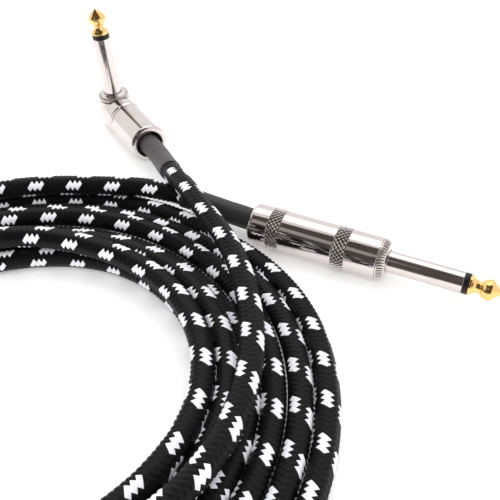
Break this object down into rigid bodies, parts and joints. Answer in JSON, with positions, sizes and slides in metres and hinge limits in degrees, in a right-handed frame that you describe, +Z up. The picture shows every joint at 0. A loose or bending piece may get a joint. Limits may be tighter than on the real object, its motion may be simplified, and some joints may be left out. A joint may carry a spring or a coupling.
{
  "type": "instrument cable",
  "caption": "Braided instrument cable in a loose coil, with a straight and a right-angled quarter-inch jack plug; barrels unscrew.",
  "frame": {"origin": "on the floor, under the middle of the two plugs' bounding box (the free cable left out)", "axes": "+X along the straight plug's shaft towards its tip, +Z up"},
  "size_m": [0.1802, 0.2081, 0.0465],
  "materials": {
    "gold": "gold plate, polished",
    "nickel": "bright nickel plate, polished",
    "nickel_shell": "bright nickel plate with knurled bands",
    "tinned_brass": "stamped, tinned",
    "black_insulator": "moulded, smooth",
    "liner_plastic": "extruded tube, semi-matt",
    "core_insulation": "extruded, smooth",
    "copper": "bare copper strand",
    "heat_shrink": "heat-shrink sleeve, satin",
    "braid": "tight black braid with white flecks"
  },
  "bodies": {
    "cable_and_plugs": {"straight_tip": "gold", "straight_tip_insulator": "black_insulator", "straight_sleeve": "nickel", "straight_body": "nickel", "straight_nut": "nickel", "straight_ground_terminal": "tinned_brass", "straight_rear_insulator": "black_insulator", "straight_tip_terminal": "tinned_brass", "straight_cable_core": "core_insulation", "straight_core_wire": "copper", "straight_shield_wire": "copper", "straight_cable_end": "braid", "straight_strain_relief": "heat_shrink", "angle_tip": "gold", "angle_tip_insulator": "black_insulator", "angle_sleeve": "nickel", "angle_collar": "nickel", "angle_elbow": "nickel_shell", "angle_rear_insulator": "black_insulator", "angle_tip_terminal": "tinned_brass", "angle_ground_terminal": "tinned_brass", "angle_cable_core": "core_insulation", "angle_core_wire": "copper", "angle_shield_wire": "copper", "angle_cable_end": "braid", "angle_strain_relief": "heat_shrink", "cable_lead_straight": "braid", "cable_lead_angle": "braid", "cable_coil": "braid"},
    "straight_liner": {"straight_liner": "liner_plastic"},
    "straight_barrel": {"straight_barrel": "nickel_shell"},
    "angle_liner": {"angle_liner": "liner_plastic"},
    "angle_barrel": {"angle_barrel": "nickel_shell"}
  },
  "joints": [
    {"name": "straight_barrel_slide", "type": "slide", "parent": "cable_and_plugs", "child": "straight_liner", "axis": [-1, 0, 0], "range_m": [0, 0.004]},
    {"name": "straight_barrel_turn", "type": "hinge", "parent": "straight_liner", "child": "straight_barrel", "pos_m": [0.0474, -0.0209, 0.00635], "axis": [-1, 0, 0], "range_deg": [0, 1440]},
    {"name": "angle_barrel_slide", "type": "slide", "parent": "cable_and_plugs", "child": "angle_liner", "axis": [0.8329, -0.5534, 0], "range_m": [0, 0.004]},
    {"name": "angle_barrel_turn", "type": "hinge", "parent": "angle_liner", "child": "angle_barrel", "pos_m": [-0.0732, 0.0212, 0.0069], "axis": [0.8329, -0.5534, 0], "range_deg": [0, 1440]}
  ],
  "couplings": [
    {"joint": "straight_barrel_turn", "follows": "straight_barrel_slide", "rad_per_m": 6283.2},
    {"joint": "angle_barrel_turn", "follows": "angle_barrel_slide", "rad_per_m": 6283.2}
  ]
}
